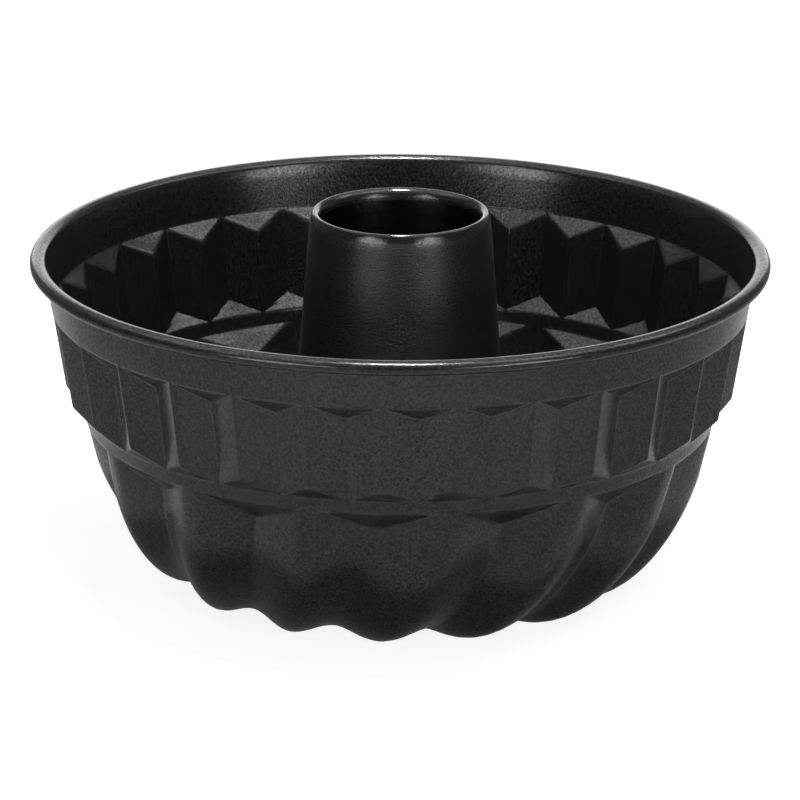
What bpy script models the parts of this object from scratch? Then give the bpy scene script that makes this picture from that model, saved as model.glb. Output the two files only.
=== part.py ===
# Mini fluted tube pan: a drawn steel shell with small V flutes over large swirled lobes,
# a tapered centre tube locked into its floor, and a wire inside the rolled rim.
# Metres, +Z up. The origin is at the foot of the lobes, on the tube's axis. The front is -Y.
import math

import bpy
import numpy as np

MM = 0.001

# Sheet and clearances
SHEET = 0.5
GAP = 0.3

# Heights above the resting plane
RIM_TOP = 75.0
PAD_DEPTH = 0.22

# Rolled rim: an ellipse in section, food side outward
BEAD_CENTRE_R = 80.63
BEAD_HALF_WIDTH = 1.87
BEAD_HALF_HEIGHT = 1.6
BEAD_START_DEG = -128.0
BEAD_COLUMNS = 60
BEAD_SEGMENTS = 9

# Wire inside the rim
WIRE_COLUMNS = 60
WIRE_SIDES = 6

# Smooth band and the small flutes under it, measured on the outside
SMALL_FLUTES = 30
RIDGE_PHASE = 9.3
BAND_R = 77.9
BAND_Z = RIM_TOP - 11.5
RIDGE_FOOT_R = 74.9
RIDGE_FOOT_Z = RIM_TOP - 30.9
VALLEY_HEAD_R = 74.35
VALLEY_HEAD_Z = RIM_TOP - 15.1
SMALL_ROUND = 0.25
SMALL_BEND = 1.5

# Plain ring between the tiers
RING_TOP_R = 71.2
RING_TOP_Z = RIM_TOP - 34.4
RING_FOOT_R = 70.6
RING_FOOT_Z = RIM_TOP - 37.5

# Swirled lobes
LOBES = 15
LOBE_PHASE = 8.5
LOBE_COLUMNS = 8
SWIRL_PER_MM = 0.625
LOBE_DEPTH_TOP = 4.8
LOBE_DEPTH_LOW = 2.6
LOBE_CAP_SLOPE = 0.75
LOBE_CREST_CLIP = 0.14
LOW_R = 44.96
WALL_LEAN_DEG = 7.0
WALL_PULL = 18.2
FLOOR_PULL = 13.1
RISE_PULL_OUT = 9.0
RISE_PULL_IN = 4.5
PAD_HALF_LENGTH = 1.9

# Collar of the shell round the tube
COLLAR_BEND = 2.0
COLLAR_CREST_Z = 12.2
COLLAR_END_Z = 7.6
COLLAR_BEND_START_DEG = 35.0
COLLAR_COLUMNS = 60

# Centre tube
TUBE_TOP_Z = RIM_TOP + 9.06
TUBE_SHOULDER_R = 20.4
TUBE_SHOULDER_DROP = 2.0
TUBE_LIP_INNER_R = 17.8
TUBE_LIP_DEPTH = 3.5
TUBE_TAPER = 0.0747
TUBE_SEAT_Z = 14.0
HOOK_HEIGHT = 2.6
TUBE_COLUMNS = 48

# Derived fits
COLLAR_FACE_R = TUBE_SHOULDER_R + TUBE_TAPER * (TUBE_TOP_Z - TUBE_SHOULDER_DROP - TUBE_SEAT_Z) + GAP
COLLAR_R = COLLAR_FACE_R + SHEET
WIRE_R = BEAD_HALF_HEIGHT - SHEET - GAP
BEAD_CENTRE_Z = RIM_TOP - BEAD_HALF_HEIGHT


def clear_scene():
    for item in list(bpy.data.objects):
        bpy.data.objects.remove(item, do_unlink=True)


def coat(name, colour, metallic, roughness):
    """One Principled material."""
    material = bpy.data.materials.new(name)
    material.use_nodes = True
    shader = material.node_tree.nodes["Principled BSDF"]
    shader.inputs["Base Color"].default_value = (*colour, 1.0)
    shader.inputs["Metallic"].default_value = metallic
    shader.inputs["Roughness"].default_value = roughness
    material.diffuse_color = (*colour, 1.0)
    return material


def make_object(name, points, faces, material, angle):
    """A named object from points in millimetres."""
    mesh = bpy.data.meshes.new(name)
    mesh.from_pydata((np.asarray(points) * MM).tolist(), [], faces)
    mesh.materials.append(material)
    mesh.validate()
    thing = bpy.data.objects.new(name, mesh)
    bpy.context.scene.collection.objects.link(thing)
    mesh.shade_smooth()
    mesh.set_sharp_from_angle(angle=math.radians(angle))
    return thing


def ring(angles_deg, radius, height):
    """Points of one row; angle 0 is the front and angles grow towards +X."""
    a = np.radians(np.asarray(angles_deg, dtype=float))
    r = np.broadcast_to(radius, a.shape)
    z = np.broadcast_to(height, a.shape)
    return np.stack([r * np.sin(a), -r * np.cos(a), z], axis=1)


def even_angles(count, phase=0.0):
    return phase + np.arange(count) * 360.0 / count


def skin(rows):
    """Joins closed rows from the top down with faces that look outward.

    Each row is (columns' name, angles, points). Rows on the same columns get quads, and others
    are zipped by angle.
    """
    faces = []
    starts = np.cumsum([0] + [len(points) for _, _, points in rows])
    for k in range(len(rows) - 1):
        a0, a1 = rows[k][1], rows[k + 1][1]
        n0, n1 = len(a0), len(a1)
        s0, s1 = int(starts[k]), int(starts[k + 1])
        if rows[k][0] == rows[k + 1][0]:
            for i in range(n0):
                j = (i + 1) % n0
                faces.append((s0 + i, s1 + i, s1 + j, s0 + j))
            continue
        i = 0
        j = int(np.argmin(np.abs((a1 - a0[0] + 180.0) % 360.0 - 180.0)))
        turn0 = np.append(a0, a0[0] + 360.0)
        offset = a1[j] - a0[0] - ((a1[j] - a0[0] + 180.0) % 360.0 - 180.0)
        order = [(j + m) % n1 for m in range(n1 + 1)]
        turn1 = np.array([a1[m] for m in order]) - offset
        turn1 = turn1 + 360.0 * np.cumsum(np.append(0, np.diff(turn1) < 0))
        m = 0
        while i < n0 or m < n1:
            step_lower = i == n0 or (m < n1 and turn1[m + 1] <= turn0[i + 1])
            upper = s0 + i % n0
            lower = s1 + order[m]
            if step_lower:
                faces.append((upper, lower, s1 + order[m + 1]))
                m += 1
            else:
                faces.append((upper, lower, s0 + (i + 1) % n0))
                i += 1
    return np.concatenate([points for _, _, points in rows]), faces


def vertex_normals(points, faces):
    """Area-weighted normals."""
    normal = np.zeros_like(points)
    for face in faces:
        corners = points[list(face)]
        if len(face) == 4:
            area = np.cross(corners[2] - corners[0], corners[3] - corners[1])
        else:
            area = np.cross(corners[1] - corners[0], corners[2] - corners[0])
        normal[list(face)] += area
    return normal / np.linalg.norm(normal, axis=1)[:, None]


def thicken(points, faces, first_count, last_count, thickness):
    """Adds the inner skin at one sheet's thickness and closes both open edges."""
    n = len(points)
    inner = points - thickness * vertex_normals(points, faces)
    closed = list(faces) + [tuple(n + v for v in reversed(face)) for face in faces]
    for start, count, flip in ((0, first_count, False), (n - last_count, last_count, True)):
        for i in range(count):
            a = start + i
            b = start + (i + 1) % count
            quad = (a, b, n + b, n + a)
            closed.append(tuple(reversed(quad)) if flip else quad)
    return np.concatenate([points, inner]), closed


def bezier(p0, p1, p2, p3, count):
    t = np.linspace(0.0, 1.0, count)[:, None]
    p0, p1, p2, p3 = (np.array(p, dtype=float) for p in (p0, p1, p2, p3))
    return (1 - t) ** 3 * p0 + 3 * (1 - t) ** 2 * t * p1 + 3 * (1 - t) * t ** 2 * p2 + t ** 3 * p3


def triangle_wave(phase_deg):
    """1 on a ridge, 0 in a valley."""
    t = np.abs((np.asarray(phase_deg) + 180.0) % 360.0 - 180.0) / 180.0
    return 1.0 - t


def lobe_profile():
    """Ridge line of the lobes from the plain ring, round the lowest point, up to the collar's bend."""
    bend = math.radians(COLLAR_BEND_START_DEG)
    centre = (COLLAR_R + COLLAR_BEND, COLLAR_CREST_Z - COLLAR_BEND)
    end = (centre[0] + COLLAR_BEND * math.cos(bend), centre[1] + COLLAR_BEND * math.sin(bend))
    steer = (end[0] + RISE_PULL_IN * math.sin(bend), end[1] - RISE_PULL_IN * math.cos(bend))
    low = (LOW_R, -PAD_DEPTH)
    lean = math.radians(WALL_LEAN_DEG)
    hang = (RING_FOOT_R - WALL_PULL * math.sin(lean), RING_FOOT_Z - WALL_PULL * math.cos(lean))
    wall = bezier((RING_FOOT_R, RING_FOOT_Z), hang, (LOW_R + FLOOR_PULL, -PAD_DEPTH), low, 240)
    rise = bezier(low, (LOW_R - RISE_PULL_OUT, -PAD_DEPTH), steer, end, 120)
    line = np.concatenate([wall, rise[1:]])
    run = np.append(0.0, np.cumsum(np.hypot(*np.diff(line, axis=0).T)))
    return run, line, float(run[239]), centre


def lobe_wave(phase_deg, run):
    """V shaped at the ring and round over the bottom; 1 on a ridge, 0 in a valley."""
    t = 1.0 - triangle_wave(phase_deg)
    sharp = np.clip((1.0 - t) / (1.0 - LOBE_CREST_CLIP), 0.0, 1.0)
    round_one = 0.5 + 0.5 * np.cos(np.pi * t)
    mix = np.clip(run / 40.0, 0.0, 1.0)
    return sharp * (1.0 - mix) + round_one * mix


def lobe_depth(run, low_run, end_run):
    depth = LOBE_DEPTH_TOP + (LOBE_DEPTH_LOW - LOBE_DEPTH_TOP) * np.clip(run / low_run, 0.0, 1.0)
    fade = np.clip((end_run - run) / (end_run - low_run), 0.0, 1.0)
    return np.where(run > low_run, LOBE_DEPTH_LOW * fade ** 0.8, depth)


def shell_rows():
    """Rows of the shell's outer face, from the rolled edge inside the bead down to the collar's end."""
    rows = []
    # Curl, from its free edge out over the top to the wall
    columns = even_angles(BEAD_COLUMNS)
    for step in range(BEAD_SEGMENTS + 1):
        a = math.radians(BEAD_START_DEG + (180.0 - BEAD_START_DEG) * step / BEAD_SEGMENTS)
        r = BEAD_CENTRE_R + (BEAD_HALF_WIDTH - SHEET) * math.cos(a)
        z = BEAD_CENTRE_Z + (BEAD_HALF_HEIGHT - SHEET) * math.sin(a)
        rows.append(("bead", columns, ring(columns, r, z)))
    # Small flutes: each column carries its own ends of the ridge and the valley
    pitch = 360.0 / SMALL_FLUTES
    bend = SMALL_BEND / 2.0
    base = np.array([-bend, bend, pitch / 2.0 - bend, pitch / 2.0 + bend])
    flute = (np.arange(SMALL_FLUTES)[:, None] * pitch + base[None]).ravel() + RIDGE_PHASE
    on_ridge = np.tile([True, True, False, False], SMALL_FLUTES)
    ridge_fall = (BAND_R - RIDGE_FOOT_R) / (BAND_Z - RIDGE_FOOT_Z)
    valley_fall = (VALLEY_HEAD_R - RING_TOP_R) / (VALLEY_HEAD_Z - RING_TOP_Z)
    head_fall = (BAND_R - VALLEY_HEAD_R) / (BAND_Z - VALLEY_HEAD_Z)
    foot_fall = (RIDGE_FOOT_R - RING_TOP_R) / (RIDGE_FOOT_Z - RING_TOP_Z)
    crest_drop = SMALL_ROUND / (head_fall - ridge_fall)
    valley_rise = SMALL_ROUND / (foot_fall - valley_fall)
    head_z = np.where(on_ridge, BAND_Z - crest_drop, VALLEY_HEAD_Z)
    head_r = np.where(on_ridge, BAND_R - head_fall * crest_drop, VALLEY_HEAD_R)
    foot_z = np.where(on_ridge, RIDGE_FOOT_Z, RING_TOP_Z + valley_rise)
    foot_r = np.where(on_ridge, RIDGE_FOOT_R, RING_TOP_R + foot_fall * valley_rise)
    rows.append(("flutes", flute, ring(flute, BAND_R, BAND_Z)))
    rows.append(("flutes", flute, ring(flute, head_r, head_z)))
    rows.append(("flutes", flute, ring(flute, foot_r, foot_z)))
    rows.append(("flutes", flute, ring(flute, RING_TOP_R, RING_TOP_Z)))
    # Lobes
    run, line, low_run, centre = lobe_profile()
    end_run = float(run[-1])
    count = LOBES * LOBE_COLUMNS
    columns = even_angles(count, LOBE_PHASE + 180.0 / count)
    phase = (columns - LOBE_PHASE) * LOBES
    normal = np.gradient(line, run, axis=0)
    normal = np.stack([-normal[:, 1], normal[:, 0]], axis=1)
    cap_end = np.zeros(count)
    for _ in range(6):
        cap_end = lobe_depth(cap_end, low_run, end_run) * (1.0 - lobe_wave(phase, cap_end)) / LOBE_CAP_SLOPE
    cap_end = np.maximum(cap_end, 0.35)
    stops = [10.0, 18.0, 26.0, 33.0, 39.5, 45.0, low_run - PAD_HALF_LENGTH, low_run + PAD_HALF_LENGTH]
    stops += [low_run + 7.0, low_run + 12.5, end_run]
    for stop in [np.zeros(count), cap_end] + stops:
        s = np.broadcast_to(np.asarray(stop, dtype=float), (count,))
        off = lobe_depth(s, low_run, end_run) * (1.0 - lobe_wave(phase, s))
        off = np.minimum(off, LOBE_CAP_SLOPE * s)
        r0 = np.interp(s, run, line[:, 0])
        r = r0 - off * np.interp(s, run, normal[:, 0])
        z = np.interp(s, run, line[:, 1]) - off * np.interp(s, run, normal[:, 1])
        z = np.maximum(z, 0.0)
        turned = columns - SWIRL_PER_MM * (RING_FOOT_R - r0)
        rows.append(("lobes", turned, ring(turned, r, z)))
    # Collar turned down beside the tube
    columns = even_angles(COLLAR_COLUMNS)
    for deg in (75.0, 115.0, 150.0, 180.0):
        a = math.radians(deg)
        rows.append(("collar", columns, ring(columns, centre[0] + COLLAR_BEND * math.cos(a),
                                             centre[1] + COLLAR_BEND * math.sin(a))))
    rows.append(("collar", columns, ring(columns, COLLAR_R, COLLAR_END_Z)))
    return rows


def build_shell(material):
    """Drawn sheet shell with its rolled rim and its collar."""
    rows = shell_rows()
    points, faces = skin(rows)
    points, faces = thicken(points, faces, len(rows[0][1]), len(rows[-1][1]), SHEET)
    return make_object("fluted_shell", points, faces, material, 18.0)


def revolve(name, profile, columns, material, angle):
    """Closed (r, z) loop turned about Z; the loop runs clockwise in the r-z plane."""
    angles = even_angles(columns)
    count = len(profile)
    points = np.concatenate([ring(angles, r, z) for r, z in profile])
    faces = []
    for k in range(count):
        k1 = (k + 1) % count
        for i in range(columns):
            j = (i + 1) % columns
            faces.append((k * columns + i, k1 * columns + i, k1 * columns + j, k * columns + j))
    return make_object(name, points, faces, material, angle)


def arc(centre, radii, start, end, count):
    a = np.radians(np.linspace(start, end, count))
    return [(centre[0] + radii[0] * math.cos(t), centre[1] + radii[1] * math.sin(t)) for t in a]


def build_tube(material):
    """Tapered tube: rolled lip, seat in the collar, and a hooked foot folded up round the collar's end."""
    shoulder_z = TUBE_TOP_Z - TUBE_SHOULDER_DROP
    seat_r = COLLAR_FACE_R - GAP
    top_r = TUBE_SHOULDER_R - TUBE_SHOULDER_DROP
    lip_bend = top_r - TUBE_LIP_INNER_R
    fold_inner = COLLAR_R + GAP
    fold_mid = (seat_r + fold_inner) / 2.0
    fold_r = (fold_inner - seat_r) / 2.0
    fold_z = COLLAR_END_Z - GAP
    hook_top = fold_z + HOOK_HEIGHT
    lip_end = TUBE_TOP_Z - lip_bend - TUBE_LIP_DEPTH
    outside = [(fold_inner + SHEET, hook_top)]
    outside += arc((fold_mid, fold_z), (fold_r + SHEET, fold_r + SHEET), 0.0, -180.0, 6)
    outside += [(seat_r - SHEET, TUBE_SEAT_Z)]
    inner_shoulder = TUBE_SHOULDER_DROP - SHEET
    bore = arc((TUBE_SHOULDER_R - TUBE_SHOULDER_DROP, shoulder_z), (inner_shoulder, inner_shoulder), 0.0, 90.0, 3)
    inner_lip = lip_bend - SHEET
    bore += [(TUBE_LIP_INNER_R + SHEET, TUBE_TOP_Z - SHEET - inner_lip)]
    bore += [(TUBE_LIP_INNER_R + SHEET, lip_end)]
    lip = [(TUBE_LIP_INNER_R, lip_end)]
    lip += arc((top_r, TUBE_TOP_Z - lip_bend), (lip_bend, lip_bend), 180.0, 90.0, 3)
    lip += arc((top_r, shoulder_z), (TUBE_SHOULDER_DROP, TUBE_SHOULDER_DROP), 90.0, 0.0, 4)[1:]
    wall = [(seat_r, TUBE_SEAT_Z)]
    wall += arc((fold_mid, fold_z), (fold_r, fold_r), 180.0, 360.0, 4)
    wall += [(fold_inner, hook_top)]
    loop = outside + bore + lip + wall
    return revolve("centre_tube", loop, TUBE_COLUMNS, material, 30.0)


def build_wire(material):
    """Round wire ring inside the bead."""
    loop = arc((BEAD_CENTRE_R, BEAD_CENTRE_Z), (WIRE_R, WIRE_R), 0.0, 360.0, WIRE_SIDES + 1)[:-1]
    return revolve("rim_wire", loop[::-1], WIRE_COLUMNS, material, 70.0)


def main():
    clear_scene()
    dark = coat("nonstick_shell", (0.024, 0.024, 0.026), 0.3, 0.42)
    dark_tube = coat("nonstick_tube", (0.02, 0.02, 0.022), 0.3, 0.38)
    steel = coat("wire_steel", (0.55, 0.55, 0.56), 1.0, 0.35)
    build_shell(dark)
    build_tube(dark_tube)
    build_wire(steel)


main()
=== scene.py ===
# A mini fluted tube pan in dark non-stick steel, seen from a little above, on a pale studio floor.
# The pan's sizes are in millimetres until a mesh is made, and the studio's are in metres.
# An angle of 0 is the front, and angles grow to the right.
import math

import bpy
import numpy as np
from mathutils import Matrix, Vector


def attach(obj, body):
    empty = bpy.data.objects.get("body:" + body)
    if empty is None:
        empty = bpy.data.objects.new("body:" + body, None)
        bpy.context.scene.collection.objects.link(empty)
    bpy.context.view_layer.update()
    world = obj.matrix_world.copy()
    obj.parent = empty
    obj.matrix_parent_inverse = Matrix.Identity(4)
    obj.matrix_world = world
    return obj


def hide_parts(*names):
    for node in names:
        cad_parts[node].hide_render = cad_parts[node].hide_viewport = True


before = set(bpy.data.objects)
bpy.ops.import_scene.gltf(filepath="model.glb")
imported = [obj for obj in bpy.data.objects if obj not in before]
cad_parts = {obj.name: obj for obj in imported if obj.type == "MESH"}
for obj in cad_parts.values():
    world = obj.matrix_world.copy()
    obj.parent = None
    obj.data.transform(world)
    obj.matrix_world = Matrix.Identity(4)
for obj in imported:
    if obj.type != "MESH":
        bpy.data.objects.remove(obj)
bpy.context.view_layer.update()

# The shell: one steel sheet, pressed into a smooth band, thirty V flutes, a plain ring and fifteen
# swirled lobes, with its upper edge rolled outward into a bead and its middle turned down as a collar.
# Both faces carry a sprayed and baked non-stick coat with a satin gloss and a fine pebbled grain.
RIM_TOP = 75.0
SHEET = 0.5
BEAD_CENTRE_R = 80.63
BEAD_HALF_WIDTH = 1.855
BEAD_HALF_HEIGHT = 1.6
BEAD_START = -128.0
BEAD_END = 173.7
BEAD_ROWS = 19
FLUTES = 30
FLUTE_PHASE = 9.3
FLUTE_CREST_BEND = 0.01
FLUTE_VALLEY_BEND = 0.035
BAND_R = 77.9
BAND_Z = RIM_TOP - 11.5
RIDGE_FOOT_R = 74.9
RIDGE_FOOT_Z = RIM_TOP - 30.9
VALLEY_HEAD_R = 74.0
VALLEY_HEAD_Z = RIM_TOP - 15.35
RING_TOP_R = 71.2
RING_TOP_Z = RIM_TOP - 34.4
RING_FOOT_R = 70.6
RING_FOOT_Z = RIM_TOP - 37.5
LOBES = 15
LOBE_PHASE = 8.5
LOBE_BEND = 0.014
LOBE_ROUND_FROM = 40.0
SWIRL_PER_MM = 0.625
LOBE_DEPTH_TOP = 4.8
LOBE_DEPTH_LOW = 2.6
LOBE_FADE = 0.8
LOBE_CAP_SLOPE = 0.75
LOBE_CREST_SHARE = 0.14
WALL_LEAN = 7
WALL_PULL = 18.2
LOW_R = 44.96
LOW_PULL_OUT = 13.1
LOW_PULL_IN = 9.0
PAD_DEPTH = 0.22
RISE_END = 35
RISE_PULL = 4.5
COLLAR_R = 26.285
COLLAR_BEND = 2.0
COLLAR_CREST_Z = 12.2
COLLAR_WALL_Z = 9.4
COLLAR_END_Z = 7.6
EDGE_SOFTNESS = 0.14
HEAD_CORNER = 40
FOOT_CORNER = 28
LOBE_CORNER = 20
COLUMNS_PER_FLUTE = 18
CROWDING = 0.8
LEAST_DEPTH = 1e-5
WALL_POINTS = 400
RISE_POINTS = 200
CAP_ROUNDS = 8


def crowded(count, crowding):
    """Places from 0 to 1 over one flute, drawn together at its crest (0) and its valley (one half).

    t = u - crowding * sin(4 pi u) / (4 pi), for even steps u.
    """
    u = np.arange(count) / count
    return u - crowding * np.sin(4 * np.pi * u) / (4 * np.pi)


def soft_start(x, width):
    """0 well below x = 0 and x well above it, with a round bend.

    Half the sum of x and the root of x^2 + width^2.
    """
    return (x + np.sqrt(x * x + width * width)) / 2


def soft_least(a, b, power):
    """The lesser of two depths with a round corner, and 0 where either is: (a^-p + b^-p) ^ (-1/p)."""
    a = np.maximum(a, LEAST_DEPTH)
    b = np.maximum(b, LEAST_DEPTH)
    least = np.minimum(a, b)
    most = np.maximum(a, b)
    return least * (1 + (least / most) ** power) ** (-1 / power)


def vee(t, crest_bend, valley_bend):
    """1 on a crest (t = 0) and 0 in a valley (t = one half): straight flanks, softened at both ends.

    The distance to the crest, as the root of t^2 + crest_bend^2, less the like distance to the valley,
    scaled and turned over so that it runs from 1 to 0.
    """
    near = np.sqrt(t * t + crest_bend ** 2)
    far = np.sqrt((0.5 - t) ** 2 + valley_bend ** 2)
    least = crest_bend - math.hypot(0.5, valley_bend)
    most = math.hypot(0.5, crest_bend) - valley_bend
    return 1 - (near - far - least) / (most - least)


def bezier(p0, p1, p2, p3, count):
    """Points of a cubic curve from p0 to p3, pulled towards p1 and p2: weights from (1 - t)^3 to t^3."""
    t = np.linspace(0, 1, count)[:, None]
    p0, p1, p2, p3 = (np.array(p, float) for p in (p0, p1, p2, p3))
    return (1 - t) ** 3 * p0 + 3 * (1 - t) ** 2 * t * p1 + 3 * (1 - t) * t * t * p2 + t ** 3 * p3


def on_axis(turn, radius, height):
    """Points (r sin a, -r cos a, z) of whole arrays of angles in degrees, radii and heights."""
    a = np.radians(turn)
    return np.stack([radius * np.sin(a), -radius * np.cos(a), height], -1)


def wrapped_grid(rows, columns):
    """Quads of a grid that closes on itself both ways: each point with the next in its row and column."""
    k = np.arange(rows)[:, None]
    i = np.arange(columns)[None]
    a = k * columns + i
    b = (k + 1) % rows * columns + i
    c = (k + 1) % rows * columns + (i + 1) % columns
    d = k * columns + (i + 1) % columns
    return np.stack([a, b, c, d], -1).reshape(-1, 4)


def make_piece(name, points, faces, material, smooth_under=None):
    """An object from points in millimetres and quads, smooth shaded.

    Where an angle is given, edges that turn by more than that stay sharp.
    """
    mesh = bpy.data.meshes.new(name)
    mesh.from_pydata((np.asarray(points) * 0.001).reshape(-1, 3).tolist(), [], faces.tolist())
    mesh.materials.append(material)
    mesh.shade_smooth()
    if smooth_under is not None:
        mesh.set_sharp_from_angle(angle=math.radians(smooth_under))
    piece = bpy.data.objects.new(name, mesh)
    bpy.context.scene.collection.objects.link(piece)
    return piece


# Columns: the same places over every flute, so that two flutes match one lobe. Each zone of rows is
# kept as its angles, radii and heights.
step = crowded(COLUMNS_PER_FLUTE, CROWDING)
columns = ((np.arange(FLUTES)[:, None] + step[None]) * 360 / FLUTES).ravel()
flute_t = np.tile(np.minimum(step, 1 - step), FLUTES)
lobe_u = (columns * LOBES / 360) % 1
lobe_t = np.minimum(lobe_u, 1 - lobe_u)
zones = []

# The curl, from its free edge round the wire and over the top to the band
a = np.radians(np.linspace(BEAD_START, BEAD_END, BEAD_ROWS))[:, None] + 0 * columns
curl_r = BEAD_CENTRE_R + (BEAD_HALF_WIDTH - SHEET) * np.cos(a)
curl_z = RIM_TOP - BEAD_HALF_HEIGHT + (BEAD_HALF_HEIGHT - SHEET) * np.sin(a)
zones.append((FLUTE_PHASE + columns + 0 * a, curl_r, curl_z))
wall_top_r = curl_r[-1, 0]
wall_top_z = curl_z[-1, 0]

# The band and the flutes: a ridge line and a valley line, with a V between them that a slope
# closes at each end
band_fall = (wall_top_r - BAND_R) / (wall_top_z - BAND_Z)
ridge_fall = (BAND_R - RIDGE_FOOT_R) / (BAND_Z - RIDGE_FOOT_Z)
valley_fall = (VALLEY_HEAD_R - RING_TOP_R) / (VALLEY_HEAD_Z - RING_TOP_Z)
ring_fall = (RING_TOP_R - RING_FOOT_R) / (RING_TOP_Z - RING_FOOT_Z)
head_slope = (BAND_R - VALLEY_HEAD_R) / (BAND_Z - VALLEY_HEAD_Z) - ridge_fall
foot_slope = (RIDGE_FOOT_R - RING_TOP_R) / (RIDGE_FOOT_Z - RING_TOP_Z) - valley_fall


def ridge_line(z):
    """Radius of the band and of the flutes' crests: two straight falls that meet at the band's foot."""
    fall = np.where(z > BAND_Z, band_fall, ridge_fall)
    return BAND_R + fall * (z - BAND_Z)


def valley_line(z):
    """Radius of the flutes' valleys and of the ring: two straight falls that meet at the ring's top."""
    fall = np.where(z > RING_TOP_Z, valley_fall, ring_fall)
    return RING_TOP_R + fall * (z - RING_TOP_Z)


def flute_depth(z):
    """How far the valleys lie inside the crests: the two lines' difference, both drawn on past their ends."""
    return BAND_R + ridge_fall * (z - BAND_Z) - RING_TOP_R - valley_fall * (z - RING_TOP_Z)


# Rows across a cap: a share of the cap's own height in each column, and some millimetres more
cap_shares = np.array([0, 0, 0, 0.05, 0.4, 0.75, 0.94, 1, 1, 1])[:, None]
cap_extras = np.array([-1.2, -0.4, -0.08, 0.1, 0.14, 0.18, 0.22, 0.32, 0.6, 1.4])[:, None]
between = np.array([0.3, 0.7])[:, None]

wave = vee(flute_t, FLUTE_CREST_BEND, FLUTE_VALLEY_BEND)
cap_head = flute_depth(VALLEY_HEAD_Z) * (1 - wave) / head_slope
cap_foot = flute_depth(RIDGE_FOOT_Z) * wave / foot_slope
z_head = BAND_Z - cap_shares * cap_head - cap_extras
z_foot = (RING_TOP_Z + cap_shares * cap_foot + cap_extras)[::-1]
z_mid = z_head[-1] + (z_foot[0] - z_head[-1]) * between
z_band = wall_top_z + (z_head[0] - wall_top_z) * between
z = np.concatenate([z_band, z_head, z_mid, z_foot])
depth = np.maximum(flute_depth(z), 0)
head_rise = head_slope * soft_start(BAND_Z - z, EDGE_SOFTNESS)
foot_rise = foot_slope * soft_start(z - RING_TOP_Z, EDGE_SOFTNESS)
sunk = soft_least(depth * (1 - wave), head_rise, HEAD_CORNER)
risen = soft_least(depth * wave, foot_rise, FOOT_CORNER)
upper = z > (VALLEY_HEAD_Z + RIDGE_FOOT_Z) / 2
wall_r = np.where(upper, ridge_line(z) - sunk, valley_line(z) + risen)
zones.append((FLUTE_PHASE + columns + 0 * z, wall_r, z))

# The lobes, by the distance run down their ridge line: a V below the ring that turns round lower down
rise_angle = math.radians(RISE_END)
collar_centre = (COLLAR_R + COLLAR_BEND, COLLAR_CREST_Z - COLLAR_BEND)
rise_end = (
    collar_centre[0] + COLLAR_BEND * math.cos(rise_angle),
    collar_centre[1] + COLLAR_BEND * math.sin(rise_angle),
)
rise_pull = (
    rise_end[0] + RISE_PULL * math.sin(rise_angle),
    rise_end[1] - RISE_PULL * math.cos(rise_angle),
)
lean = math.radians(WALL_LEAN)
wall_pull = (RING_FOOT_R - WALL_PULL * math.sin(lean), RING_FOOT_Z - WALL_PULL * math.cos(lean))
low = (LOW_R, -PAD_DEPTH)
low_out = (LOW_R + LOW_PULL_OUT, -PAD_DEPTH)
low_in = (LOW_R - LOW_PULL_IN, -PAD_DEPTH)
line = np.concatenate([
    [(RING_TOP_R, RING_TOP_Z)],
    bezier((RING_FOOT_R, RING_FOOT_Z), wall_pull, low_out, low, WALL_POINTS),
    bezier(low, low_in, rise_pull, rise_end, RISE_POINTS)[1:],
])
run = np.append(0, np.cumsum(np.hypot(*np.diff(line, axis=0).T)))
run -= run[1]
low_run = run[WALL_POINTS]
end_run = run[-1]
out = np.gradient(line, run, axis=0)
out = np.stack([-out[:, 1], out[:, 0]], 1)


def lobe_wave(s):
    """1 on a lobe's ridge and 0 in its valley.

    A V with a flat crest at the ring, mixed evenly with the distance run into half of 1 + cosine.
    """
    sharp = np.clip(vee(lobe_t, LOBE_BEND, LOBE_BEND) / (1 - LOBE_CREST_SHARE), 0, 1)
    mix = np.clip(s / LOBE_ROUND_FROM, 0, 1)
    return sharp * (1 - mix) + (0.5 + 0.5 * np.cos(2 * np.pi * lobe_t)) * mix


def lobe_depth(s):
    """Falls evenly to the lowest point, and from there by a power of what is left to run, to nothing."""
    down_wall = LOBE_DEPTH_TOP + (LOBE_DEPTH_LOW - LOBE_DEPTH_TOP) * np.clip(s / low_run, 0, 1)
    left = np.clip((end_run - s) / (end_run - low_run), 0, 1)
    return np.where(s > low_run, LOBE_DEPTH_LOW * left ** LOBE_FADE, down_wall)


# Each column's cap ends where its slope has reached the lobe's own depth, found in a few rounds
cap_run = 0 * columns
for _ in range(CAP_ROUNDS):
    cap_run = lobe_depth(cap_run) * (1 - lobe_wave(cap_run)) / LOBE_CAP_SLOPE

# Rows below the caps: even down the wall, close together at the lowest point, and even up the rise
stops = np.concatenate([
    np.linspace(11.5, low_run - 2.5, 15),
    low_run + np.array([-1.2, 0, 1.2, 2.6]),
    np.linspace(low_run + 5.0, end_run, 7),
])[:, None]
s = np.concatenate([cap_shares * cap_run + cap_extras, stops + 0 * columns])
cap_rise = LOBE_CAP_SLOPE * soft_start(s, EDGE_SOFTNESS)
off = soft_least(lobe_depth(s) * (1 - lobe_wave(s)), cap_rise, LOBE_CORNER)
ridge_r = np.interp(s, run, line[:, 0])
lobe_r = ridge_r - off * np.interp(s, run, out[:, 0])
lobe_z = np.maximum(np.interp(s, run, line[:, 1]) - off * np.interp(s, run, out[:, 1]), 0)
lobe_turn = LOBE_PHASE + columns - SWIRL_PER_MM * (RING_FOOT_R - ridge_r)
zones.append((lobe_turn, lobe_r, lobe_z))

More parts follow.
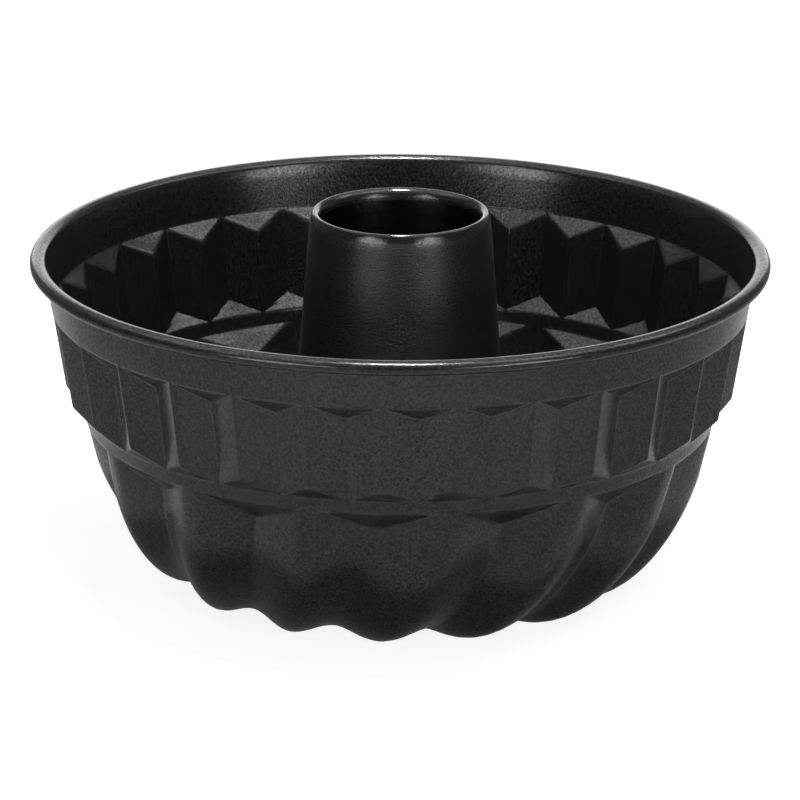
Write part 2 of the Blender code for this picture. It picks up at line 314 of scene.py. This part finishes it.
# The collar: over a round bend and down beside the tube
a = np.radians([50, 70, 90, 110, 130, 150, 165, 180])[:, None] + 0 * columns
bend_r = collar_centre[0] + COLLAR_BEND * np.cos(a)
bend_z = collar_centre[1] + COLLAR_BEND * np.sin(a)
zones.append((lobe_turn[-1] + 0 * a, bend_r, bend_z))
down = np.array([COLLAR_WALL_Z, COLLAR_END_Z])[:, None] + 0 * columns
zones.append((lobe_turn[-1] + 0 * down, COLLAR_R + 0 * down, down))

# The sheet: its outer face, and its inner face one thickness in along the outer one's normals
outer = on_axis(*(np.concatenate(part) for part in zip(*zones)))
along = np.gradient(outer, axis=0)
across = np.roll(outer, -1, 1) - np.roll(outer, 1, 1)
normal = np.cross(along, across)
normal /= np.linalg.norm(normal, axis=-1, keepdims=True)
inner = outer - SHEET * normal
sheet = np.concatenate([outer, inner[::-1]])


class Value:
    """A socket. The signs + - and * add Math nodes, with a number on either side too."""

    def __init__(self, paint, socket):
        self.paint = paint
        self.socket = socket

    def worked(self, operation, first, second):
        return self.paint.node("ShaderNodeMath", {"operation": operation}, {0: first, 1: second})

    def __add__(self, other):
        return self.worked("ADD", self, other)

    def __radd__(self, other):
        return self.worked("ADD", other, self)

    def __sub__(self, other):
        return self.worked("SUBTRACT", self, other)

    def __rsub__(self, other):
        return self.worked("SUBTRACT", other, self)

    def __mul__(self, other):
        return self.worked("MULTIPLY", self, other)

    def __rmul__(self, other):
        return self.worked("MULTIPLY", other, self)


class Paint:
    """The nodes of a material, or of the surround."""

    def __init__(self, owner):
        self.owner = owner
        self.owner.use_nodes = True
        self.tree = self.owner.node_tree

    def put(self, made, sockets):
        """Links values into a node's sockets, or sets the sockets to numbers and colours."""
        for key, value in sockets.items():
            if isinstance(value, Value):
                self.tree.links.new(value.socket, made.inputs[key])
            else:
                made.inputs[key].default_value = value

    def node(self, kind, settings, sockets, result=0):
        """Adds a node: its type, its settings, and its sockets' values or links. Gives one of its results."""
        made = self.tree.nodes.new(kind)
        for key, value in settings.items():
            setattr(made, key, value)
        self.put(made, sockets)
        return Value(self, made.outputs[result])

    def finish(self, name, sockets):
        """Puts values into a node that the owner came with, and gives the owner."""
        self.put(self.tree.nodes[name], sockets)
        return self.owner

    def place(self, result="Object"):
        """A point of the piece in metres, or another result of Texture Coordinate."""
        return self.node("ShaderNodeTexCoord", {}, {}, result)

    def noise(self, where, scale, detail, roughness):
        """Noise on a place, from 0 to 1."""
        sockets = {"Vector": where, "Scale": scale, "Detail": detail, "Roughness": roughness}
        return self.node("ShaderNodeTexNoise", {}, sockets, "Fac")

    def spread(self, value, low, high, at_low, at_high):
        """at_low up to low, at_high from high on, and even between them."""
        sockets = {"Value": value, "From Min": low, "From Max": high, "To Min": at_low, "To Max": at_high}
        return self.node("ShaderNodeMapRange", {}, sockets)

    def blend(self, factor, first, second):
        """A colour between two others."""
        return self.node("ShaderNodeMix", {"data_type": "RGBA"}, {0: factor, 6: first, 7: second}, 2)

    def bump(self, distance, height):
        """A normal from a height, which is multiplied by a distance in metres."""
        return self.node("ShaderNodeBump", {}, {"Strength": 1.0, "Distance": distance, "Height": height})


PEBBLE_SCALE = 1800.0
FLECK_SCALE = 2700.0
CLOUD_SCALE = 42.0
WIPE_SCALE = 480.0
PEBBLE_SWING = 0.14
CLOUD_SWING = 0.08
WIPE_SWING = 0.08
FLECK_SHARE = 0.25
MOTTLE_FROM = 0.38
MOTTLE_TO = 0.66
TOP_COAT = 0.6
TOP_COAT_ROUGHNESS = 0.2


def coat_noises(paint, streak):
    """The coat's pebbles, flecks, clouds and wipes, each from 0 to 1.

    The streak flattens the pebbles and flecks, and its square flattens the wipes.
    """
    place = paint.place()
    flattened = paint.node("ShaderNodeMapping", {}, {"Vector": place, "Scale": (1, 1, streak)})
    wiped = paint.node("ShaderNodeMapping", {}, {"Vector": place, "Scale": (1, 1, streak * streak)})
    pebbles = paint.noise(flattened, PEBBLE_SCALE, 2.0, 0.55)
    flecks = paint.noise(flattened, FLECK_SCALE, 1.0, 0.5)
    clouds = paint.noise(place, CLOUD_SCALE, 3.0, 0.55)
    wipes = paint.noise(wiped, WIPE_SCALE, 3.0, 0.6)
    return pebbles, flecks, clouds, wipes


def coat_roughness(gloss, pebbles, clouds, wipes, wipe_swing):
    """The gloss, and round it each noise's swing times its distance from one half."""
    return gloss + (clouds - 0.5) * CLOUD_SWING + (wipes - 0.5) * wipe_swing + (pebbles - 0.5) * PEBBLE_SWING


def nonstick(paint, pebbles, flecks, dark, light, roughness, shine, relief_height, relief):
    """The non-stick coat: near black, and where it is mottled paler, under more of a clear top coat.

    The mottle is the flecks' share and the rest of pebbles, stretched to run from 0 to 1.
    """
    mottle = paint.spread(
        pebbles * (1 - FLECK_SHARE) + flecks * FLECK_SHARE, MOTTLE_FROM, MOTTLE_TO, 0.0, 1.0)
    return paint.finish("Principled BSDF", {
        "Base Color": paint.blend(mottle, (*dark, 1), (*light, 1)),
        "Roughness": roughness,
        "Specular IOR Level": shine,
        "Coat Weight": mottle * TOP_COAT,
        "Coat Roughness": TOP_COAT_ROUGHNESS,
        "Normal": paint.bump(relief_height, relief),
    })


SHELL_DARK = (0.0024, 0.0024, 0.0024)
SHELL_LIGHT = (0.0105, 0.0104, 0.0102)
SHELL_GLOSS = 0.19
SHELL_SHINE = 0.17
SHELL_RELIEF = 0.00006


def shell_coat(name):
    """The coat with the same grain all over: seven parts of pebbles to three of flecks, lightly wiped."""
    paint = Paint(bpy.data.materials.new(name))
    pebbles, flecks, clouds, wipes = coat_noises(paint, 1.0)
    roughness = coat_roughness(SHELL_GLOSS, pebbles, clouds, wipes, WIPE_SWING)
    relief = pebbles * 0.7 + flecks * 0.3 + wipes * 0.25
    return nonstick(
        paint, pebbles, flecks, SHELL_DARK, SHELL_LIGHT, roughness, SHELL_SHINE, SHELL_RELIEF, relief)


shell = make_piece(
    "pan_shell",
    sheet,
    wrapped_grid(len(sheet), len(columns)),
    shell_coat("shell_coat"),
)
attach(shell, "root")
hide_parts("fluted_shell")

# The centre tube: the same sheet rolled to a slight taper, its top turned inward to a round lip and its
# foot folded up round the end of the collar. It has the same coat, over steel that was brushed round
# below the lip, so that level lines show in it.
TUBE_TOP_Z = RIM_TOP + 9.06
SHOULDER_R = 20.4
SHOULDER_DROP = 4.6
SHOULDER_LEAN = 0.22
SHOULDER_PULL = 2.8
SHOULDER_PULL_INSIDE = 2.5
CREST_R = 19.2
CREST_PULL = 0.6
CREST_PULL_INSIDE = 0.3
LIP_INNER_R = 17.7
LIP_DROP = 2.2
LIP_END_DROP = 2.5
TUBE_SEAT_Z = 14.0
HOOK_HEIGHT = 2.6
GAP = 0.3
TUBE_STEPS = 192
SMOOTH_UNDER = 50
TUBE_DARK = (0.0009, 0.0009, 0.0009)
TUBE_LIGHT = (0.0045, 0.0045, 0.0044)
TUBE_GLOSS = 0.12
TUBE_SHINE = 0.27
TUBE_RELIEF = 0.0001
TUBE_STREAK = 2.5
BRUSHED_DROP = 1.8
BRUSHED_EDGE = 0.6
BRUSHED_GLOSS = 0.38
BRUSHED_SWING = 0.18
BRUSHED_SHARE_INSIDE = 0.7
OUTWARD_EDGE = 0.004


def arc(centre, width, start, end, count, height=None):
    """Points of a circle or ellipse between two angles in degrees.

    The centre, and from it half the width times the cosine and half the height times the sine.
    """
    a = np.radians(np.linspace(start, end, count))
    return np.stack([centre[0] + width * np.cos(a), centre[1] + (height or width) * np.sin(a)], 1)


def turned(profile, count):
    """A closed loop of radius and height turned once round the axis, in even steps."""
    turn = np.tile(np.arange(count) * 360 / count, (len(profile), 1))
    return on_axis(turn, profile[:, :1] + 0 * turn, profile[:, 1:] + 0 * turn)


def tube_coat(name):
    """The coat over brushed steel, which is rougher and has level lines in it.

    The brushed zone is what lies below the lip: in full where a point's place and its normal point the
    same way, outside, and by a share where they don't, inside.
    """
    paint = Paint(bpy.data.materials.new(name))
    pebbles, flecks, clouds, wipes = coat_noises(paint, TUBE_STREAK)
    place = paint.place()
    edge = TUBE_TOP_Z - BRUSHED_DROP
    height = paint.node("ShaderNodeSeparateXYZ", {}, {"Vector": place}, "Z")
    below = paint.spread(height, (edge - BRUSHED_EDGE) * 0.001, (edge + BRUSHED_EDGE) * 0.001, 1.0, 0.0)
    directions = {0: place, 1: paint.place("Normal")}
    outward = paint.node("ShaderNodeVectorMath", {"operation": "DOT_PRODUCT"}, directions, "Value")
    outside = paint.spread(outward, -OUTWARD_EDGE, OUTWARD_EDGE, BRUSHED_SHARE_INSIDE, 1.0)
    brushed = below * outside
    satin = coat_roughness(TUBE_GLOSS, pebbles, clouds, wipes, BRUSHED_SWING)
    roughness = satin + brushed * (BRUSHED_GLOSS - TUBE_GLOSS)
    relief = pebbles * 0.3 + flecks * 0.15 + (pebbles * 0.9 + wipes * 0.6) * brushed
    paint.finish("Principled BSDF", {"Anisotropic": 0.75, "Anisotropic Rotation": 0.25})
    return nonstick(
        paint, pebbles, flecks, TUBE_DARK, TUBE_LIGHT, roughness, TUBE_SHINE, TUBE_RELIEF, relief)


# The tube's section, from the hook down round the fold, up inside, over the lip and down outside
seat_r = COLLAR_R - SHEET - GAP
fold_inner = COLLAR_R + GAP
fold_mid = ((seat_r + fold_inner) / 2, COLLAR_END_Z - GAP)
fold_r = (fold_inner - seat_r) / 2
hook_top = fold_mid[1] + HOOK_HEIGHT
lip_width = CREST_R - LIP_INNER_R
lip_centre = (CREST_R, TUBE_TOP_Z - LIP_DROP)
lip_end = TUBE_TOP_Z - LIP_END_DROP
crest = np.array((CREST_R, TUBE_TOP_Z))
foot = np.array((SHOULDER_R, TUBE_TOP_Z - SHOULDER_DROP))
shoulder = bezier(crest, crest + (CREST_PULL, 0), foot + (-SHOULDER_LEAN, SHOULDER_PULL), foot, 24)
shoulder_inside = bezier(
    foot - (SHEET, 0), foot + (-SHEET - SHOULDER_LEAN, SHOULDER_PULL_INSIDE),
    crest + (CREST_PULL_INSIDE, -SHEET), crest - (0, SHEET), 8)
levels = np.linspace(0, 1, 9)[1:-1, None]
wall_outside = foot * (1 - levels) + np.array([seat_r, TUBE_SEAT_Z]) * levels
profile = np.concatenate([
    [(fold_inner + SHEET, hook_top)],
    arc(fold_mid, fold_r + SHEET, 0, -180, 14),
    [(seat_r - SHEET, TUBE_SEAT_Z)],
    (wall_outside - (SHEET, 0))[::-1],
    shoulder_inside,
    arc(lip_centre, lip_width - SHEET, 90, 180, 8, LIP_DROP - SHEET)[1:],
    [(LIP_INNER_R + SHEET, lip_end), (LIP_INNER_R, lip_end)],
    arc(lip_centre, lip_width, 180, 90, 14, LIP_DROP),
    shoulder[1:],
    wall_outside,
    [(seat_r, TUBE_SEAT_Z)],
    arc(fold_mid, fold_r, -180, 0, 10),
    [(fold_inner, hook_top)],
])
tube = make_piece(
    "centre_tube_dressed",
    turned(profile, TUBE_STEPS),
    wrapped_grid(len(profile), TUBE_STEPS),
    tube_coat("tube_coat"),
    SMOOTH_UNDER,
)
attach(tube, "root")
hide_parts("centre_tube")

# The rim's wire: a ring of bright drawn steel that the sheet's edge is rolled round. The bead closes it
# in, with a small gap all round.
WIRE_STEPS = 240
WIRE_DULL = (0.42, 0.41, 0.40)
WIRE_BRIGHT = (0.6, 0.6, 0.6)
WIRE_RELIEF = 0.00001


def drawn_steel(name):
    """Bright drawn steel with fine lines, and patches of oxide that are rougher."""
    paint = Paint(bpy.data.materials.new(name))
    lines = paint.noise(paint.place(), 3000.0, 2.0, 0.6)
    patches = paint.noise(paint.place(), 160.0, 3.0, 0.6)
    return paint.finish("Principled BSDF", {
        "Base Color": paint.blend(patches, (*WIRE_DULL, 1), (*WIRE_BRIGHT, 1)),
        "Roughness": 0.28 + lines * 0.12 + patches * 0.1,
        "Metallic": 1.0,
        "Normal": paint.bump(WIRE_RELIEF, lines),
    })


wire_r = BEAD_HALF_HEIGHT - SHEET - GAP
loop = arc((BEAD_CENTRE_R, RIM_TOP - BEAD_HALF_HEIGHT), wire_r, 360, 0, 13)[:-1]
wire = make_piece(
    "rim_wire_dressed",
    turned(loop, WIRE_STEPS),
    wrapped_grid(len(loop), WIRE_STEPS),
    drawn_steel("wire_steel"),
)
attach(wire, "root")
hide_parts("rim_wire")

# The studio floor: a matt grey sheet that runs out of sight. The camera sees it lifted to white with its
# shadow kept, and gloss sees it lifted by less, so that the flutes stay dark and clear.
FLOOR_REACH = 8.0
FLOOR_GREY = 0.35
FLOOR_LIFT = 0.86
FLOOR_LIFT_IN_GLOSS = 0.07


def seen_by(paint, kind):
    """1 for rays of one kind, and 0 for the others."""
    return paint.node("ShaderNodeLightPath", {}, {}, f"Is {kind} Ray")


def pale_floor(name):
    """A matt grey and a white lift added to it, which depends on the kind of ray. Clear from below."""
    paint = Paint(bpy.data.materials.new(name))
    in_gloss = (seen_by(paint, "Glossy") + seen_by(paint, "Transmission")) * FLOOR_LIFT_IN_GLOSS
    strength = seen_by(paint, "Camera") * FLOOR_LIFT + in_gloss
    matt = paint.node("ShaderNodeBsdfDiffuse", {}, {"Color": (FLOOR_GREY, FLOOR_GREY, FLOOR_GREY, 1)})
    lift = paint.node("ShaderNodeEmission", {}, {"Color": (1, 1, 1, 1), "Strength": strength})
    lifted = paint.node("ShaderNodeAddShader", {}, {0: matt, 1: lift})
    below = paint.node("ShaderNodeNewGeometry", {}, {}, "Backfacing")
    clear = paint.node("ShaderNodeBsdfTransparent", {}, {})
    shown = paint.node("ShaderNodeMixShader", {}, {0: below, 1: lifted, 2: clear})
    return paint.finish("Material Output", {"Surface": shown})


floor_corners = np.array([(-1, -1, 0), (1, -1, 0), (1, 1, 0), (-1, 1, 0)]) * FLOOR_REACH * 1000
floor = make_piece("floor", floor_corners, np.array([[0, 1, 2, 3]]), pale_floor("floor_white"))

# The surround: an even pale room, white to the camera, with a brighter ceiling that only gloss sees.
# The ceiling's edge is soft, between two heights of the direction on a sphere of radius 1.
SURROUND_LEVEL = 0.08
SURROUND_FOR_CAMERA = 0.95
SURROUND_IN_GLOSS = 0.15
CEILING_IN_GLOSS = 1.5
CEILING_FROM = 0.5
CEILING_TO = 0.85

room = Paint(bpy.data.worlds.new("surround"))
upward = room.node("ShaderNodeSeparateXYZ", {}, {"Vector": room.place("Generated")}, "Z")
ceiling = room.spread(upward, CEILING_FROM, CEILING_TO, SURROUND_IN_GLOSS, CEILING_IN_GLOSS)
for_camera = SURROUND_LEVEL + seen_by(room, "Camera") * SURROUND_FOR_CAMERA
in_gloss = seen_by(room, "Glossy") * ceiling + seen_by(room, "Transmission") * SURROUND_IN_GLOSS
bpy.context.scene.world = room.finish(
    "Background", {"Color": (1, 1, 1, 1), "Strength": for_camera + in_gloss})


# The lamps: a small one overhead for the rim's highlights, soft boxes for the inside, low lamps and
# strips in front for the rim's lines and the tube's two bands, a panel behind, and narrow ones that
# light a ring of floor, which the outer wall reflects.
def soft_lamp(name, azimuth, elevation, distance, width, height, power, spread=180, aim=(0, 0, 0.05)):
    """A rectangular area lamp that faces a point from a direction, an angle round it and an angle up.

    Angles are in degrees, distances and sizes in metres, and the power in watts.
    """
    light = bpy.data.lights.new(name, "AREA")
    light.shape = "RECTANGLE"
    light.size = width
    light.size_y = height
    light.energy = power
    light.spread = math.radians(spread)
    lamp = bpy.data.objects.new(name, light)
    a, e = math.radians(azimuth), math.radians(elevation)
    towards = Vector((math.sin(a) * math.cos(e), -math.cos(a) * math.cos(e), math.sin(e)))
    lamp.location = Vector(aim) + towards * distance
    lamp.rotation_mode = "QUATERNION"
    lamp.rotation_quaternion = towards.to_track_quat("Z", "Y")
    bpy.context.scene.collection.objects.link(lamp)


soft_lamp("lamp_overhead", 0, 79, 0.75, 0.12, 0.12, 0.28, spread=23)
soft_lamp("softbox_right", 66, 62, 1.2, 0.45, 0.4, 2.0)
soft_lamp("softbox_rear", 105, 45, 1.2, 0.4, 0.4, 1.7)
soft_lamp("softbox_left", -92, 50, 1.2, 0.9, 0.5, 1.4)
soft_lamp("lamp_left", -36, 6, 1.8, 1.0, 0.3, 12.5)
soft_lamp("lamp_right", 36, 6, 1.8, 1.0, 0.3, 12.5)
soft_lamp("strip_left", -38, 19, 1.6, 0.3, 0.25, 2.5)
soft_lamp("strip_right", 38, 19, 1.6, 0.3, 0.25, 2.8)
soft_lamp("panel_behind", 180, 12, 1.5, 1.4, 0.7, 5.0)

FLOOR_RING_R = 0.18
FLOOR_LAMP_SIZE = (0.28, 0.1)
FLOOR_LAMP_DISTANCE = 0.62
FLOOR_LAMP_SPREAD = 18
NEARLY_UPRIGHT = 89
FLOOR_LAMP_POWERS = {
    0: 0.25, -45: 0.17, 45: 0.14, -90: 0.05, 90: 0.05, -135: 0.04, 135: 0.04, 180: 0.45,
}
for azimuth, power in FLOOR_LAMP_POWERS.items():
    a = math.radians(azimuth)
    spot = (FLOOR_RING_R * math.sin(a), -FLOOR_RING_R * math.cos(a), 0)
    soft_lamp(
        f"floor_lamp_{azimuth % 360}", azimuth, NEARLY_UPRIGHT, FLOOR_LAMP_DISTANCE, *FLOOR_LAMP_SIZE,
        power, spread=FLOOR_LAMP_SPREAD, aim=spot)

# The camera: a long lens from a little above the rim, turned by a hair. Its place was fitted to the
# rim's and the tube's ellipses.
CAMERA_ELEVATION = 18.314
CAMERA_DISTANCE = 1.05675
CAMERA_AIM_BELOW_RIM = 0.035257
CAMERA_ROLL = 0.289
CAMERA_SHIFT_X = 0.00065
CLIP_NEAR = 0.05
CLIP_FAR = 50
FOCAL_PIXELS = 4688.8
FRAME_PIXELS = 800
SENSOR_WIDTH = 36

camera = bpy.data.cameras.new("camera")
camera.sensor_width = SENSOR_WIDTH
camera.lens = FOCAL_PIXELS / FRAME_PIXELS * SENSOR_WIDTH
camera.shift_x = CAMERA_SHIFT_X
camera.clip_start = CLIP_NEAR
camera.clip_end = CLIP_FAR
eye = bpy.data.objects.new("camera", camera)
e = math.radians(CAMERA_ELEVATION)
back = Vector((0, -math.cos(e), math.sin(e)))
right = (-back).cross(Vector((0, 0, 1))).normalized()
facing = Matrix((right, right.cross(-back), back)).transposed().to_4x4()
facing.translation = Vector((0, 0, RIM_TOP * 0.001 - CAMERA_AIM_BELOW_RIM)) + back * CAMERA_DISTANCE
eye.matrix_world = facing @ Matrix.Rotation(math.radians(CAMERA_ROLL), 4, "Z")
bpy.context.scene.collection.objects.link(eye)
bpy.context.scene.camera = eye
bpy.context.scene.view_settings.view_transform = "Standard"
